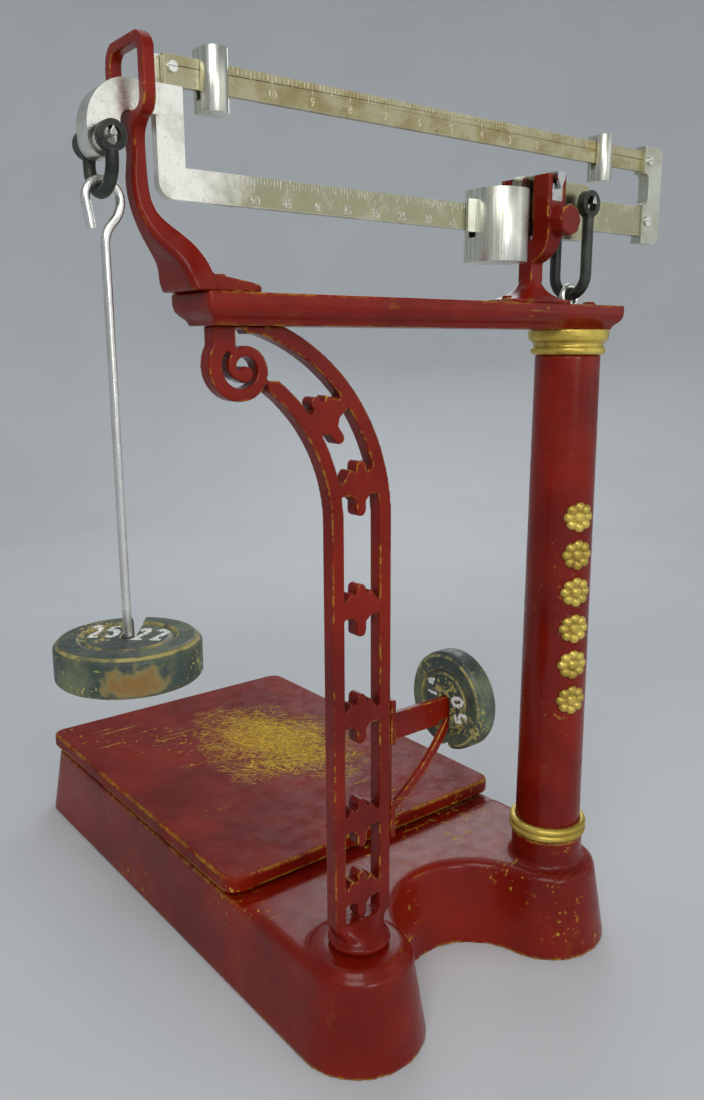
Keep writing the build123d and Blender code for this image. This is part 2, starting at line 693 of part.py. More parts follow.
def lever_links():
    """Two closed links that hang the short lever's nose from the long lever's cross bar."""
    low = link_pin_z - link_pin_radius - 0.1
    high = lever_z + lever_bar[1] / 2 + 0.3
    middle = (low + high) / 2
    ring = Pos(long_link_y, middle) * RectangleRounded(18, high - low + 7, 5)
    ring -= Pos(long_link_y, middle) * RectangleRounded(11, high - low, 0.8)
    return [plate_yz(ring, 4.0, lever_mid_x + side * link_spread) for side in (-1, 1)]


def base_bearings():
    """V blocks in the base lugs under the levers' fulcrum edges."""
    blocks = []
    for x, y in lug_places():
        piece = block(x - 7, x + 7, y - 5, y + 5, lever_z - 6, lever_z + 3)
        top = lever_z + 3.5
        groove = make_face(Polyline((y, lever_z), (y + 3.5, top), (y - 3.5, top), close=True))
        blocks.append(piece - plate_yz(groove, 20, x))
    return blocks


def platform_bearings():
    """Inverted V blocks under the platform feet, on the levers' load edges."""
    blocks = []
    for x, y in foot_places():
        apex = lever_z + bearing_gap
        piece = block(x - 6, x + 6, y - 6, y + 6, lever_z - 3, lever_z + 7)
        groove = make_face(Polyline((y, apex), (y + 4, apex - 4), (y - 4, apex - 4), close=True))
        blocks.append(piece - plate_yz(groove, 20, x))
    return blocks


def platform():
    """Cast platform plate with a turned-down rim and four feet."""
    plan = RectangleRounded(platform_width, platform_depth, platform_corner)
    middle_y = platform_front + platform_depth / 2
    low = platform_z - platform_thick
    plate = extrude(Pos(platform_x, middle_y, low) * plan, amount=platform_thick)
    plate = fillet(plate.edges().group_by(Axis.Z)[-1], 2.0)
    inner = RectangleRounded(platform_width - 2 * wall, platform_depth - 2 * wall, platform_corner - wall)
    plate -= extrude(Pos(platform_x, middle_y, low) * inner, amount=platform_thick - 5.5)
    for x, y in foot_places():
        plate += block(x - 7, x + 7, y - 7, y + 7, lever_z + 7, platform_z - 4)
    return plate


def screw_down(x, y, top, low, radius, head):
    """Slotted round-head screw pointing down from a surface at height top."""
    dome = Pos(x, y, top) * Sphere(head) & block(x - 9, x + 9, y - 9, y + 9, top, top + head * 0.62)
    dome -= block(x - 9, x + 9, y - 0.5, y + 0.5, top + head * 0.34, top + 9)
    return dome + rod(x, y, low, top, radius)


def screw_front(x, z, front, back, radius, head):
    """Cheese-head screw along Y with its head in front."""
    top = rod_y(x, front - 1.6, front, z, head)
    top -= block(x - 9, x + 9, front - 1.7, front - 0.9, z - 0.4, z + 0.4)
    return top + rod_y(x, front, back, z, radius)


def bolt_up(x, y, low, high, radius, head):
    """Hexagon-head bolt pointing up."""
    return extrude(Pos(x, y, low - 5) * RegularPolygon(head, 6), amount=5) + rod(x, y, low, high, radius)


def cut(piece, *others):
    """Piece with the other solids taken out of it."""
    for other in others:
        for solid in other if isinstance(other, list) else [other]:
            piece = piece - solid
    return piece


def assembly():
    """All pieces by node name, cut clear of each other, in the column's own frame."""
    pillar_mid = pillar_x + 1.5
    leg_face = pillar_mid + (leg_gap + leg_width) / 2
    under_deck = deck_z - wall
    parts = {
        "base_casting": base_casting(),
        "column": column(),
        "column_collar": column_collar(),
        "column_capital": column_capital(),
        "scroll_pillar": scroll_pillar(),
        "shelf": shelf(),
        "trig_stand": trig_stand(),
        "fulcrum_stand": fulcrum_stand(),
        "fulcrum_bearings": fulcrum_bearings(),
        "weight_rack": weight_rack(),
        "spare_weight": spare_weight(),
        "beam": beam(),
        "upper_bar": upper_bar(),
        "beam_end_bracket": beam_end_bracket(),
        "fulcrum_pivot": Pos(fulcrum_x, 0, knife_z) * knife(7.0, 10.0, 46.0, False),
        "load_pivot": Pos(load_x, 0, knife_z) * knife(4.0, 5.0, 36.0, True),
        "tip_pivot": Pos(tip_x, 0, knife_z) * knife(3.4, 4.0, 32.0, True),
        "lower_poise": lower_poise(),
        "lower_poise_index": lower_poise_index(),
        "upper_poise": upper_poise(),
        "balance_poise": balance_poise(),
        "tip_shackle": tip_shackle(),
        "counterpoise_hook": counterpoise_hook(),
        "counterpoise_seat": counterpoise_seat(),
        "hanging_weight": hanging_weight(),
        "load_shackle": load_shackle(),
        "steelyard_rod": steelyard_rod(),
        "long_lever": long_lever(),
        "long_lever_pivots": long_lever_pivots(),
        "short_lever": short_lever(),
        "short_lever_pivots": short_lever_pivots(),
        "lever_links": lever_links(),
        "base_bearings": base_bearings(),
        "platform": platform(),
        "platform_bearings": platform_bearings(),
    }
    parts["column_rosettes"] = [cut(rosette, column_shaft()) for rosette in column_rosettes()]
    parts["shelf_screw"] = screw_down(20.5, 0, shelf_z[1], 448, 2.2, 4.6)
    parts["trig_screw"] = screw_down(-274.5, 0, shelf_z[1] + 6.2, 452, 2.2, 4.6)
    parts["fulcrum_screws"] = [screw_down(fulcrum_x + side * 21.5, 0, shelf_z[1] + 2.6, 463, 1.8, 3.4)
                               for side in (-1, 1)]
    parts["column_bolts"] = [bolt_up(0, side * 20.4, under_deck, 104, 2.4, 4.6) for side in (-1, 1)]
    parts["pillar_bolt"] = bolt_up(pillar_mid, 0, under_deck, 80, 4.0, 7.0)
    bracket_front = -bracket_thick / 2
    parts["beam_screws"] = [
        screw_front(75.5, 534.0, bracket_front, 3.6, 1.8, 3.2),
        screw_front(75.0, 574.2, bracket_front, 3.4, 1.5, 2.6),
        screw_front(-296.8, 575.4, -upper_bar_thick / 2, 5.4, 1.4, 2.5),
    ]
    pad_face = leg_face + rack_pad_thick
    parts["rack_screws"] = [rod_x(pad_face, pad_face + 2, 0, z, 3.2)
                            + rod_x(leg_face - 6, pad_face, 0, z, 1.7) for z in rack_screw_z]
    for low, high in rack_pad_z:
        parts["weight_rack"] += block(leg_face, pad_face, -6, 6, low, high)

    knives = [parts["fulcrum_pivot"], parts["load_pivot"], parts["tip_pivot"]]
    parts["beam"] = cut(parts["beam"], *knives, parts["beam_screws"], parts["upper_bar"])
    parts["upper_bar"] = cut(parts["upper_bar"], parts["beam_screws"])
    parts["beam_end_bracket"] = cut(parts["beam_end_bracket"], parts["beam"], parts["upper_bar"],
                                    parts["beam_screws"])
    parts["fulcrum_stand"] = cut(parts["fulcrum_stand"], parts["fulcrum_bearings"], parts["fulcrum_screws"])
    parts["trig_stand"] = cut(parts["trig_stand"], parts["trig_screw"])
    parts["column"] = cut(parts["column"], parts["column_bolts"])
    parts["column_capital"] = cut(parts["column_capital"], parts["shelf_screw"])
    parts["scroll_pillar"] = cut(parts["scroll_pillar"], parts["trig_screw"], parts["rack_screws"],
                                 parts["pillar_bolt"], parts["base_casting"])
    parts["weight_rack"] = cut(parts["weight_rack"], parts["rack_screws"])
    parts["base_casting"] = cut(parts["base_casting"], parts["column_bolts"], parts["pillar_bolt"])
    rod_hole = rod(load_x, 0, shelf_z[0] - 1, shelf_z[1] + 1, 12.0)
    parts["shelf"] = cut(parts["shelf"], parts["shelf_screw"], parts["trig_screw"],
                         parts["fulcrum_screws"], rod_hole)
    parts["counterpoise_seat"] = cut(parts["counterpoise_seat"], parts["counterpoise_hook"])
    parts["long_lever"] = cut(parts["long_lever"], parts["long_lever_pivots"])
    parts["short_lever"] = cut(parts["short_lever"], parts["short_lever_pivots"])
    return parts


def as_compound(piece):
    """One shape for export from a solid or a list of solids."""
    if isinstance(piece, list):
        return Compound([solid for item in piece for solid in item.solids()])
    return piece


def write_parts():
    """Moves the origin to the bottom centre of the whole scale and writes one STEP per node."""
    os.makedirs("parts", exist_ok=True)
    shapes = {name: as_compound(piece) for name, piece in assembly().items()}
    boxes = [shape.bounding_box() for shape in shapes.values()]
    low = [min(getattr(box.min, side) for box in boxes) for side in "XYZ"]
    high = [max(getattr(box.max, side) for box in boxes) for side in "XYZ"]
    shift = (-(low[0] + high[0]) / 2, -(low[1] + high[1]) / 2, -low[2])
    for name, shape in shapes.items():
        export_step(Pos(*shift) * shape, f"parts/{name}.step")
    print("column axis at", round(shift[0], 3), round(shift[1], 3), "nodes", len(shapes))


write_parts()
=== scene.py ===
import math
import random

import bmesh
import bpy
from mathutils import Matrix, Vector
from mathutils.bvhtree import BVHTree


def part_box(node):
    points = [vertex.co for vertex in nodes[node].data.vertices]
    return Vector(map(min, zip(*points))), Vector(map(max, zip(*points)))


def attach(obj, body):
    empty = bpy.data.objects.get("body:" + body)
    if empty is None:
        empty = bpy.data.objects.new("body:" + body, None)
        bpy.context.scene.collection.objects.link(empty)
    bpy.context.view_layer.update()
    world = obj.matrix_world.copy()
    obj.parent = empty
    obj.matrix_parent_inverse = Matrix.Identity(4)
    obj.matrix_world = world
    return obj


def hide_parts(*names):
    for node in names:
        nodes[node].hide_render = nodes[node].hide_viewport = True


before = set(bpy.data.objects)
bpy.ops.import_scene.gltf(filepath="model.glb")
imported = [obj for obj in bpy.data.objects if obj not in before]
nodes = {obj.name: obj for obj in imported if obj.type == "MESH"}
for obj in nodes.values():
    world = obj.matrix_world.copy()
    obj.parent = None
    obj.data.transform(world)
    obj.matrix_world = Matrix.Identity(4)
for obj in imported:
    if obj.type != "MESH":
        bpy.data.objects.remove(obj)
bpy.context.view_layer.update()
print("frame loaded:", len(nodes), "nodes")


# small helpers for node graphs

def newGroup(name, inputs, outputs):
    group = bpy.data.node_groups.new(name, "ShaderNodeTree")
    for label, kind, value in inputs:
        socket = group.interface.new_socket(label, in_out="INPUT", socket_type=kind)
        socket.default_value = value
    for label, kind in outputs:
        group.interface.new_socket(label, in_out="OUTPUT", socket_type=kind)
    return group, group.nodes.new("NodeGroupInput"), group.nodes.new("NodeGroupOutput")


def node(tree, kind, settings=None, **inputs):
    made = tree.nodes.new(kind)
    for key, value in (settings or {}).items():
        setattr(made, key, value)
    for key, value in inputs.items():
        feed(tree, made, key.replace("_", " "), value)
    return made


def feed(tree, target, key, value):
    socket = target.inputs[int(key[1:])] if key[0] == "i" and key[1:].isdigit() else target.inputs[key]
    if isinstance(value, bpy.types.NodeSocket):
        tree.links.new(value, socket)
    else:
        socket.default_value = value


def maths(tree, operation, a, b=0.0, clamp=False):
    return node(tree, "ShaderNodeMath", {"operation": operation, "use_clamp": clamp}, i0=a, i1=b).outputs[0]


def noise(tree, vector, scale, detail=4.0, rough=0.55, distortion=0.0):
    made = node(tree, "ShaderNodeTexNoise", None, Vector=vector, Scale=scale, Detail=detail,
                Roughness=rough, Distortion=distortion)
    return made.outputs["Fac"]


def ramp(tree, value, low, high, fromMin=0.0, fromMax=1.0):
    made = node(tree, "ShaderNodeMapRange", {"interpolation_type": "SMOOTHSTEP"}, i0=value, i1=low, i2=high,
                i3=fromMin, i4=fromMax)
    return made.outputs[0]


def mixColor(tree, factor, a, b):
    made = tree.nodes.new("ShaderNodeMix")
    made.data_type = "RGBA"
    feed(tree, made, "i0", factor)
    feed(tree, made, "i6", a)
    feed(tree, made, "i7", b)
    return made.outputs[2]


def stretched(tree, vector, scale, turn=(0, 0, 0)):
    return node(tree, "ShaderNodeMapping", None, Vector=vector, Rotation=turn, Scale=scale).outputs[0]


# edge wear: sharp convex edges, broken up by two sizes of noise

def buildEdgeWear():
    group, given, out = newGroup("edgeWear", [
        ("Vector", "NodeSocketVector", (0, 0, 0)), ("Reach", "NodeSocketFloat", 0.0015),
        ("Amount", "NodeSocketFloat", 0.5), ("Breakup", "NodeSocketFloat", 90.0)],
        [("Mask", "NodeSocketFloat"), ("Soft", "NodeSocketFloat")])
    t = group
    bevelNode = node(t, "ShaderNodeBevel", {"samples": 4}, Radius=given.outputs["Reach"])
    geometry = t.nodes.new("ShaderNodeNewGeometry")
    aligned = node(t, "ShaderNodeVectorMath", {"operation": "DOT_PRODUCT"}, i0=bevelNode.outputs[0],
                   i1=geometry.outputs["Normal"]).outputs["Value"]
    edge = maths(t, "SUBTRACT", 1.0, aligned)
    point = ramp(t, geometry.outputs["Pointiness"], 0.495, 0.53)
    edge = maths(t, "MULTIPLY", ramp(t, edge, 0.002, 0.05), point)
    fine = noise(t, given.outputs["Vector"], given.outputs["Breakup"], 6.0, 0.7)
    broad = noise(t, given.outputs["Vector"], maths(t, "MULTIPLY", given.outputs["Breakup"], 0.17), 3.0)
    broken = maths(t, "MULTIPLY", ramp(t, fine, 0.36, 0.62), ramp(t, broad, 0.28, 0.6))
    strength = maths(t, "MULTIPLY", given.outputs["Amount"], 3.0)
    level = maths(t, "MULTIPLY", maths(t, "MULTIPLY", edge, broken), strength)
    t.links.new(ramp(t, level, 0.3, 0.5), out.inputs["Mask"])
    t.links.new(edge, out.inputs["Soft"])
    return group


# chips and scratches scattered over a painted face

def buildChips():
    group, given, out = newGroup("paintChips", [
        ("Vector", "NodeSocketVector", (0, 0, 0)), ("Scale", "NodeSocketFloat", 60.0),
        ("Amount", "NodeSocketFloat", 0.3)], [("Mask", "NodeSocketFloat")])
    t = group
    broad = maths(t, "MULTIPLY", given.outputs["Scale"], 0.16)
    where = ramp(t, noise(t, given.outputs["Vector"], broad, 3.0), 0.4, 0.7)
    specks = noise(t, given.outputs["Vector"], maths(t, "MULTIPLY", given.outputs["Scale"], 3.1), 5.0, 0.62)
    share = maths(t, "MULTIPLY", where, given.outputs["Amount"])
    limit = maths(t, "SUBTRACT", 0.765, maths(t, "MULTIPLY", share, 0.3))
    spots = maths(t, "GREATER_THAN", specks, limit)
    marks = []
    for turn, size in (((0.2, 0.1, 0.7), 1.0), ((0.1, 0.3, -0.6), 1.3), ((0.0, 0.2, 2.2), 0.8)):
        along = stretched(t, given.outputs["Vector"], (size * 12, size * 260, size * 200), turn)
        marks.append(maths(t, "GREATER_THAN", noise(t, along, 1.0, 2.0, 0.5, 0.4), 0.715))
    lines = maths(t, "MAXIMUM", maths(t, "MAXIMUM", marks[0], marks[1]), marks[2])
    lines = maths(t, "MULTIPLY", lines, ramp(t, share, 0.12, 0.5))
    t.links.new(maths(t, "MAXIMUM", spots, lines, True), out.inputs["Mask"])
    return group


# cast skin: soft waves and fine grain as a height

def buildCastSkin():
    group, given, out = newGroup("castSkin", [
        ("Vector", "NodeSocketVector", (0, 0, 0)), ("Grain", "NodeSocketFloat", 500.0),
        ("Waves", "NodeSocketFloat", 45.0)],
        [("Height", "NodeSocketFloat"), ("Mottle", "NodeSocketFloat")])
    t = group
    grain = noise(t, given.outputs["Vector"], given.outputs["Grain"], 3.0)
    waves = noise(t, given.outputs["Vector"], given.outputs["Waves"], 2.0, 0.4)
    runs = noise(t, stretched(t, given.outputs["Vector"], (170, 170, 20)), 1.0, 2.0, 0.5)
    total = maths(t, "ADD", maths(t, "MULTIPLY", grain, 0.28), waves)
    t.links.new(maths(t, "ADD", total, maths(t, "MULTIPLY", runs, 0.22)), out.inputs["Height"])
    t.links.new(noise(t, given.outputs["Vector"],
                      maths(t, "MULTIPLY", given.outputs["Waves"], 0.35), 5.0, 0.6),
                out.inputs["Mottle"])
    return group


# painted shade: darkening in crevices and recesses, where ambient occlusion finds the surface closed in,
# broken up by noise

def buildGrime():
    group, given, out = newGroup("creviceShade", [
        ("Vector", "NodeSocketVector", (0, 0, 0)), ("Reach", "NodeSocketFloat", 0.012),
        ("Amount", "NodeSocketFloat", 0.6)], [("Mask", "NodeSocketFloat")])
    t = group
    shade = node(t, "ShaderNodeAmbientOcclusion", {"samples": 6, "only_local": True},
                 Distance=given.outputs["Reach"])
    closed = maths(t, "SUBTRACT", 1.0, shade.outputs["AO"])
    patchy = ramp(t, noise(t, given.outputs["Vector"], 70.0, 5.0, 0.6), 0.3, 0.7, 0.45, 1.0)
    t.links.new(maths(t, "MULTIPLY", maths(t, "MULTIPLY", closed, patchy), given.outputs["Amount"], True),
                out.inputs["Mask"])
    return group


edgeWear = buildEdgeWear()
paintChips = buildChips()
castSkin = buildCastSkin()
creviceShade = buildGrime()
print("shared effects built")


def placed(tree, group, **inputs):
    made = tree.nodes.new("ShaderNodeGroup")
    made.node_tree = group
    for key, value in inputs.items():
        feed(tree, made, key, value)
    return made


def newMaterial(name):
    material = bpy.data.materials.new(name)
    material.use_nodes = True
    tree = material.node_tree
    shader = tree.nodes["Principled BSDF"]
    place = node(tree, "ShaderNodeTexCoord").outputs["Object"]
    return material, tree, shader, place


def bump(tree, shader, height, strength, distance):
    made = node(tree, "ShaderNodeBump", None, Strength=strength, Distance=distance, Height=height)
    tree.links.new(made.outputs[0], shader.inputs["Normal"])


def fromPoint(tree, place, point):
    return node(tree, "ShaderNodeVectorMath", {"operation": "SUBTRACT"}, i0=place, i1=point).outputs[0]


def split(tree, vector):
    return node(tree, "ShaderNodeSeparateXYZ", None, i0=vector).outputs


def radiusOf(tree, a, b):
    squares = maths(tree, "ADD", maths(tree, "MULTIPLY", a, a), maths(tree, "MULTIPLY", b, b))
    return maths(tree, "SQRT", squares)


# worn red enamel over a yellow undercoat

enamel = {
    "red": (0.225, 0.0085, 0.0016, 1),
    "deep": (0.135, 0.0042, 0.0014, 1),
    "bright": (0.30, 0.016, 0.002, 1),
    "under": (0.68, 0.44, 0.035, 1),
    "rubbed": (0.27, 0.055, 0.006, 1),
    "underDark": (0.40, 0.22, 0.025, 1),
    # painted shade: near-black tint laid into crevices
    "creviceShadeTint": (0.035, 0.01, 0.008, 1),
}


def makeEnamel(name, wear=0.45, chips=0.3, reach=0.0016, patch=None, low=0.0, coat=0.15, gritty=0.0):
    material, t, shader, place = newMaterial(name)
    skin = placed(t, castSkin, Vector=place, Grain=620.0, Waves=38.0)
    edges = placed(t, edgeWear, Vector=place, Reach=reach, Amount=wear, Breakup=150.0)
    spots = placed(t, paintChips, Vector=place, Scale=60.0, Amount=chips)
    shadedCrevices = placed(t, creviceShade, Vector=place, Reach=0.01, Amount=0.75)
    color = mixColor(t, ramp(t, skin.outputs["Mottle"], 0.30, 0.70), enamel["deep"], enamel["red"])
    color = mixColor(t, ramp(t, noise(t, place, 16.0, 4.0), 0.45, 0.75, 0.0, 0.5), color, enamel["bright"])
    rubbedPatch = ramp(t, noise(t, place, 26.0, 6.0, 0.7), 0.60, 0.72, 0.0, 0.32 + low)
    color = mixColor(t, rubbedPatch, color, enamel["rubbed"])
    bare = maths(t, "MAXIMUM", edges.outputs["Mask"], maths(t, "MULTIPLY", spots.outputs["Mask"], 0.8))
    if patch:
        bare = maths(t, "MAXIMUM", bare, patch(t, place))
    halo = maths(t, "MULTIPLY", edges.outputs["Soft"], 0.32 * wear)
    color = mixColor(t, halo, color, enamel["rubbed"])
    underLevel = ramp(t, noise(t, place, 240.0, 4.0), 0.35, 0.65)
    underTone = mixColor(t, underLevel, enamel["under"], enamel["underDark"])
    color = mixColor(t, bare, color, underTone)
    # painted shade: crevices darken towards the near-black tint
    color = mixColor(t, shadedCrevices.outputs["Mask"], color, enamel["creviceShadeTint"])
    t.links.new(color, shader.inputs["Base Color"])
    gloss = ramp(t, noise(t, place, 75.0, 5.0, 0.65), 0.3, 0.75, 0.24 + gritty, 0.46 + gritty)
    gloss = maths(t, "ADD", gloss, maths(t, "MULTIPLY", bare, 0.26), True)
    t.links.new(gloss, shader.inputs["Roughness"])
    t.links.new(maths(t, "MULTIPLY", maths(t, "SUBTRACT", 1.0, bare), coat), shader.inputs["Coat Weight"])
    shader.inputs["Coat Roughness"].default_value = 0.14
    shader.inputs["Specular IOR Level"].default_value = 0.16
    height = maths(t, "SUBTRACT", skin.outputs["Height"], maths(t, "MULTIPLY", bare, 0.16))
    bump(t, shader, height, 0.55, 0.0011)
    return material


# worn patch where the goods were set down, on the platform's top only

wornPatch = {"shift": (0.028, 0.014), "half": (0.062, 0.082), "reach": 1.25, "wobble": 1.5, "fill": 0.15,
             "scratches": ((0.75, 900), (0.30, 760), (1.35, 820), (2.45, 880))}  # turn, fineness


def platformPatch(t, place):
    low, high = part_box("platform")
    shiftRight, shiftBack = wornPatch["shift"]
    centre = Vector(((low.x + high.x) / 2 + shiftRight, (low.y + high.y) / 2 + shiftBack, 0))
    parts = split(t, fromPoint(t, place, centre))
    wobble = maths(t, "SUBTRACT", noise(t, place, 17.0, 4.0, 0.6), 0.5)
    wobble = maths(t, "MULTIPLY", wobble, wornPatch["wobble"])
    across = maths(t, "DIVIDE", parts[0], wornPatch["half"][0])
    along = maths(t, "DIVIDE", parts[1], wornPatch["half"][1])
    far = maths(t, "ADD", radiusOf(t, across, along), wobble)
    inside = maths(t, "SUBTRACT", wornPatch["reach"], far, True)
    mask = 0.0
    for turn, fine in wornPatch["scratches"]:
        rolled = stretched(t, place, (1, 1, 1), (0, 0, turn))
        scratch = noise(t, stretched(t, rolled, (48, fine, 200)), 1.0, 2.5, 0.55, 0.35)
        reached = maths(t, "ADD", scratch, maths(t, "MULTIPLY", inside, wornPatch["fill"]))
        mask = maths(t, "MAXIMUM", ramp(t, reached, 0.655, 0.672), mask)
    topFace = ramp(t, split(t, place)[2], high.z - 0.0012, high.z - 0.0006)
    core = ramp(t, inside, 0.01, 0.12)
    return maths(t, "MULTIPLY", maths(t, "MULTIPLY", mask, core), topFace, True)


gilt = {"deep": (0.44, 0.31, 0.045, 1), "bright": (0.74, 0.57, 0.12, 1), "edge": (0.86, 0.68, 0.26, 1),
        # painted shade: the second tint on the next line darkens crevices
        "rubbed": (0.20, 0.045, 0.02, 1), "creviceShadeTint": (0.09, 0.035, 0.012, 1)}


def makeGilt(name, relief=None):
    material, t, shader, place = newMaterial(name)
    skin = placed(t, castSkin, Vector=place, Grain=700.0, Waves=90.0)
    edges = placed(t, edgeWear, Vector=place, Reach=0.001, Amount=0.6, Breakup=260.0)
    shadedCrevices = placed(t, creviceShade, Vector=place, Reach=0.006, Amount=0.95)
    color = mixColor(t, ramp(t, skin.outputs["Mottle"], 0.35, 0.65), gilt["deep"], gilt["bright"])
    color = mixColor(t, edges.outputs["Soft"], color, gilt["edge"])
    rubbed = ramp(t, noise(t, place, 190.0, 6.0, 0.72), 0.60, 0.66)
    color = mixColor(t, maths(t, "MULTIPLY", rubbed, 0.75), color, gilt["rubbed"])
    # painted shade: crevices darken towards a dark brown tint
    color = mixColor(t, shadedCrevices.outputs["Mask"], color, gilt["creviceShadeTint"])
    if relief:  # only what stands proud of the column is gilded, the rest keeps the red
        missed = maths(t, "SUBTRACT", 1.0, relief(t, place), True)
        color = mixColor(t, missed, color, enamel["red"])
        rubbed = maths(t, "MAXIMUM", rubbed, missed)
    t.links.new(color, shader.inputs["Base Color"])
    t.links.new(maths(t, "SUBTRACT", 0.62, maths(t, "MULTIPLY", rubbed, 0.5), True),
                shader.inputs["Metallic"])
    t.links.new(ramp(t, noise(t, place, 130.0, 4.0), 0.3, 0.7, 0.30, 0.5), shader.inputs["Roughness"])
    bump(t, shader, skin.outputs["Height"], 0.5, 0.0006)
    return material


shaft = {"foot": 0.02489, "taper": 0.00608}  # radius at the floor, and how much it loses a metre


def aboveColumn(t, place):
    low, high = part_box("column")
    parts = split(t, fromPoint(t, place, Vector(((low.x + high.x) / 2, (low.y + high.y) / 2, 0))))
    far = radiusOf(t, parts[0], parts[1])
    skinAt = maths(t, "SUBTRACT", shaft["foot"], maths(t, "MULTIPLY", parts[2], shaft["taper"]))
    ragged = maths(t, "MULTIPLY", maths(t, "SUBTRACT", noise(t, place, 420.0, 4.0), 0.5), 0.0009)
    return ramp(t, maths(t, "ADD", maths(t, "SUBTRACT", far, skinAt), ragged), 0.0006, 0.0010)


plating = {
    "bright": (0.93, 0.92, 0.84, 1), "tarnish": (0.43, 0.42, 0.29, 1), "olive": (0.37, 0.36, 0.23, 1),
    "brass": (0.36, 0.29, 0.13, 1), "poise": (0.86, 0.87, 0.79, 1), "bracket": (0.62, 0.64, 0.55, 1),
    "paleBrass": (0.46, 0.43, 0.27, 1), "steel": (0.48, 0.48, 0.47, 1), "darkSteel": (0.2, 0.18, 0.15, 1),
    "wire": (0.86, 0.86, 0.82, 1), "darkWire": (0.4, 0.38, 0.33, 1), "spot": (0.17, 0.14, 0.08, 1),
    # painted shade: the first tint on the next line darkens crevices
    "creviceShadeTint": (0.07, 0.05, 0.03, 1), "edge": (0.85, 0.83, 0.78, 1),
}


# fade is a pair of X positions between which the plating goes dull
def makePlating(name, base, tarnish, amount, rough=(0.2, 0.38), drawn=None, fade=None, streaks=0.0):
    material, t, shader, place = newMaterial(name)
    edges = placed(t, edgeWear, Vector=place, Reach=0.0008, Amount=0.5, Breakup=300.0)
    shadedCrevices = placed(t, creviceShade, Vector=place, Reach=0.005, Amount=0.55)
    cloud = noise(t, place, 55.0, 6.0, 0.66, 0.3)
    spots = ramp(t, noise(t, place, 420.0, 5.0, 0.7), 0.60, 0.68)
    level = maths(t, "MULTIPLY", ramp(t, cloud, 0.40, 0.66), amount)
    if fade:
        along = split(t, place)[0]
        level = maths(t, "ADD", level, ramp(t, along, fade[0], fade[1], 0.0, 0.9), True)
    lines = noise(t, stretched(t, place, drawn or (40, 900, 900)), 1.0, 3.0, 0.6)
    if streaks:
        level = maths(t, "ADD", level, ramp(t, lines, 0.46, 0.60, 0.0, streaks), True)
    color = mixColor(t, level, base, tarnish)
    color = mixColor(t, maths(t, "MULTIPLY", spots, 0.45 * amount + 0.1), color, plating["spot"])
    # painted shade: crevices darken towards a dark brown tint
    color = mixColor(t, shadedCrevices.outputs["Mask"], color, plating["creviceShadeTint"])
    color = mixColor(t, maths(t, "MULTIPLY", edges.outputs["Soft"], 0.4), color, plating["edge"])
    t.links.new(color, shader.inputs["Base Color"])
    shader.inputs["Metallic"].default_value = 1.0
    gloss = ramp(t, cloud, 0.3, 0.7, rough[0], rough[1])
    gloss = maths(t, "ADD", gloss, maths(t, "MULTIPLY", spots, 0.12), True)
    t.links.new(gloss, shader.inputs["Roughness"])
    bump(t, shader, maths(t, "ADD", lines, maths(t, "MULTIPLY", cloud, 1.2)), 0.35, 0.00025)
    return material


iron = {
    "black": (0.012, 0.014, 0.013, 1), "worn": (0.05, 0.06, 0.045, 1), "patina": (0.16, 0.15, 0.08, 1),
    "cast": (0.05, 0.045, 0.042, 1), "paleCast": (0.12, 0.11, 0.1, 1), "rust": (0.16, 0.06, 0.025, 1),
}


def makeIron(name, dark, light, rust, amount=0.4, rough=(0.34, 0.6)):
    material, t, shader, place = newMaterial(name)
    skin = placed(t, castSkin, Vector=place, Grain=500.0, Waves=120.0)
    edges = placed(t, edgeWear, Vector=place, Reach=0.001, Amount=0.7, Breakup=240.0)
    spots = placed(t, paintChips, Vector=place, Scale=120.0, Amount=0.4)
    shadedCrevices = placed(t, creviceShade, Vector=place, Reach=0.006, Amount=0.7)
    color = mixColor(t, ramp(t, skin.outputs["Mottle"], 0.36, 0.64), dark, light)
    bare = maths(t, "MAXIMUM", edges.outputs["Mask"], spots.outputs["Mask"])
    color = mixColor(t, maths(t, "MULTIPLY", bare, amount, True), color, rust)
    # painted shade: crevices darken towards near black
    color = mixColor(t, shadedCrevices.outputs["Mask"], color, (0.012, 0.01, 0.008, 1))
    t.links.new(color, shader.inputs["Base Color"])
    gloss = ramp(t, noise(t, place, 160.0, 4.0), 0.3, 0.7, rough[0], rough[1])
    t.links.new(gloss, shader.inputs["Roughness"])
    shader.inputs["Metallic"].default_value = 0.25
    bump(t, shader, skin.outputs["Height"], 0.6, 0.0008)
    return material


weightPaint = {
    "dark": (0.032, 0.050, 0.044, 1), "light": (0.135, 0.165, 0.085, 1), "ochre": (0.42, 0.34, 0.10, 1),
    "rust": (0.22, 0.105, 0.016, 1), "white": (0.86, 0.86, 0.83, 1),
    # painted shade: the second tint on the next line darkens crevices
    "dirtyWhite": (0.62, 0.62, 0.58, 1), "creviceShadeTint": (0.012, 0.014, 0.01, 1),
}


